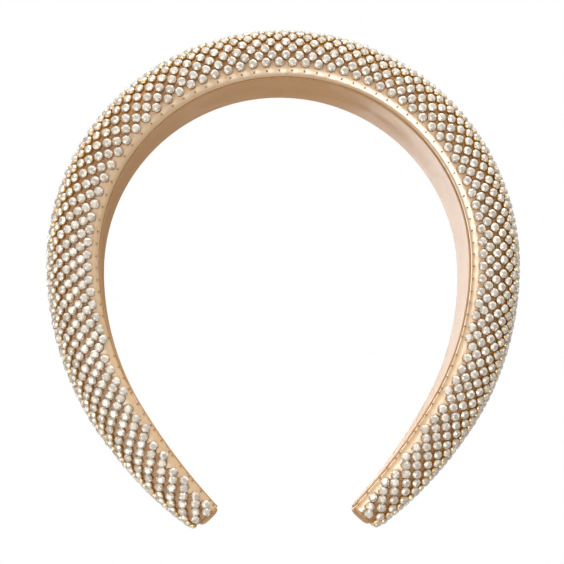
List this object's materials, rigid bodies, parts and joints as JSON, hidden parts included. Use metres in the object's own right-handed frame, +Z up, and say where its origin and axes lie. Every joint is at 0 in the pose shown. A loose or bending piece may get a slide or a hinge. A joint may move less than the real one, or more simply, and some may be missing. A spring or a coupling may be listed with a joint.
{
  "type": "headband",
  "caption": "Padded hoop headband covered in glass stones in metal cups over champagne satin, with a satin lining ribbon, wide at the crown and narrow at the open tips.",
  "frame": {"origin": "middle of the crown's inner face, where the head carries the band, on the line where its left, right, front and back halves meet", "axes": "X runs from side to side (+X is the wearer's left, at the right as seen from the front), -Y is the front edge, +Z points up out of the crown"},
  "size_m": [0.1572, 0.04, 0.1645],
  "materials": {
    "hoop_plastic": "injection-moulded acetal strip, natural, hidden inside",
    "pad_foam": "soft open-cell polyurethane foam, hidden inside",
    "cover_satin": "champagne woven satin, soft gloss, stretched smooth",
    "lining_satin": "champagne satin ribbon, fine cross rib, soft gloss",
    "net_mesh": "brown backing net of the rhinestone mesh",
    "cup_metal": "stamped brass cups, pale gold plate, bright rims",
    "stone_glass": "clear foil-backed faceted glass, polished",
    "stitch_thread": "brown polyester thread"
  },
  "bodies": {
    "crown": {"edge_stitches_crown": "stitch_thread", "foam_pad_crown": "pad_foam", "lining_ribbon_crown": "lining_satin", "mesh_net_crown": "net_mesh", "satin_cover_crown": "cover_satin", "setting_cups_crown": "cup_metal", "spring_hoop_crown": "hoop_plastic", "stones_crown": "stone_glass"},
    "left_arm": {"edge_stitches_left_arm": "stitch_thread", "foam_pad_left_arm": "pad_foam", "lining_ribbon_left_arm": "lining_satin", "mesh_net_left_arm": "net_mesh", "satin_cover_left_arm": "cover_satin", "setting_cups_left_arm": "cup_metal", "spring_hoop_left_arm": "hoop_plastic", "stones_left_arm": "stone_glass", "tip_wrap_left": "lining_satin"},
    "right_arm": {"edge_stitches_right_arm": "stitch_thread", "foam_pad_right_arm": "pad_foam", "lining_ribbon_right_arm": "lining_satin", "mesh_net_right_arm": "net_mesh", "satin_cover_right_arm": "cover_satin", "setting_cups_right_arm": "cup_metal", "spring_hoop_right_arm": "hoop_plastic", "stones_right_arm": "stone_glass", "tip_wrap_right": "lining_satin"}
  },
  "joints": [
    {"name": "left_arm_flex", "type": "hinge", "parent": "crown", "child": "left_arm", "pos_m": [-0.05586, 0, -0.00414], "axis": [0, 1, 0], "range_deg": [-3, 20], "stiffness_Nm_per_rad": 1.2},
    {"name": "right_arm_flex", "type": "hinge", "parent": "crown", "child": "right_arm", "pos_m": [0.05586, 0, -0.00414], "axis": [0, -1, 0], "range_deg": [-3, 20], "stiffness_Nm_per_rad": 1.2}
  ]
}
